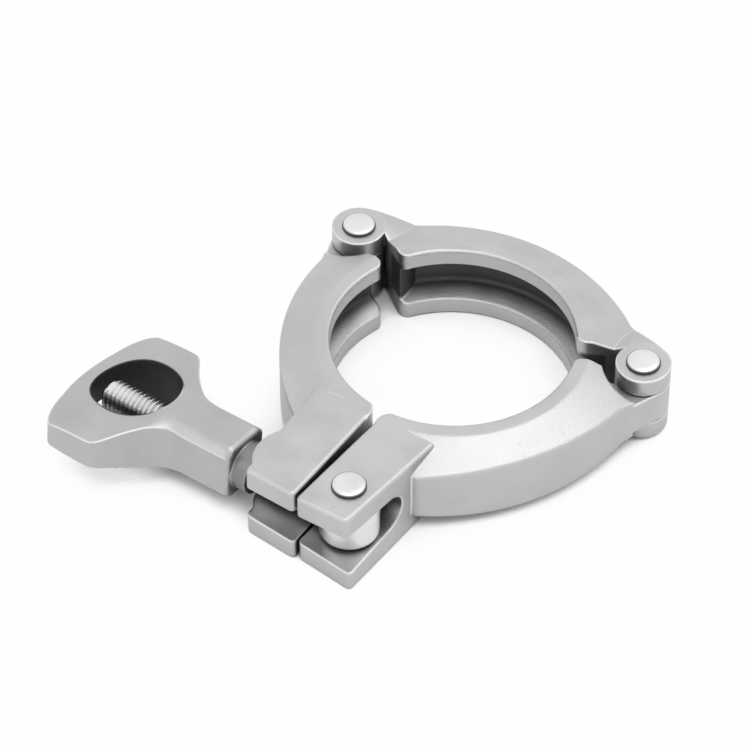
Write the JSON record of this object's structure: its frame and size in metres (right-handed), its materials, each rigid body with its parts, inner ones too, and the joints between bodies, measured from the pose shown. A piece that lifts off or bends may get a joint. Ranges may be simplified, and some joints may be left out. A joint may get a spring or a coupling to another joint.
{
  "type": "sanitary hinged clamp",
  "caption": "Hinged ring clamp with a V groove for sanitary tube ferrules, drawn shut by a swing bolt and a winged nut with a window.",
  "frame": {"origin": "centre of the ring, half way between its two faces", "axes": "+Z along the ring's axis, +Y towards the middle of the rear link; the lugs reach towards -Y and the wing nut towards -X"},
  "size_m": [0.1113, 0.1113, 0.0213],
  "materials": {
    "cast_steel": "satin, tumbled after casting",
    "nut_steel": "satin, tumbled after casting",
    "bolt_steel": "plain turned steel",
    "pin_steel": "plain, riveted over"
  },
  "bodies": {
    "rear_link": {"rear_link": "cast_steel", "hinge_pin_left": "pin_steel", "hinge_pin_right": "pin_steel"},
    "left_arm": {"left_arm": "cast_steel"},
    "right_arm": {"right_arm": "cast_steel", "bolt_pin": "pin_steel"},
    "swing_bolt": {"swing_bolt": "bolt_steel"},
    "wing_nut": {"wing_nut": "nut_steel"}
  },
  "joints": [
    {"name": "right_arm_hinge", "type": "hinge", "parent": "rear_link", "child": "right_arm", "pos_m": [0.0399, 0.01878, 0], "axis": [0, 0, 1], "range_deg": [0, 75]},
    {"name": "left_arm_hinge", "type": "hinge", "parent": "rear_link", "child": "left_arm", "pos_m": [-0.0399, 0.01878, 0], "axis": [0, 0, -1], "range_deg": [0, 75]},
    {"name": "bolt_swing", "type": "hinge", "parent": "right_arm", "child": "swing_bolt", "pos_m": [0.008, -0.0525, 0], "axis": [0, 0, 1], "range_deg": [0, 180]},
    {"name": "wing_nut_travel", "type": "slide", "parent": "swing_bolt", "child": "wing_nut", "axis": [-1, 0, 0], "range_m": [0, 0.028]}
  ],
  "couplings": [
    {"joint": "right_arm_hinge", "follows": "wing_nut_travel", "rad_per_m": 7},
    {"joint": "left_arm_hinge", "follows": "wing_nut_travel", "rad_per_m": 7}
  ]
}
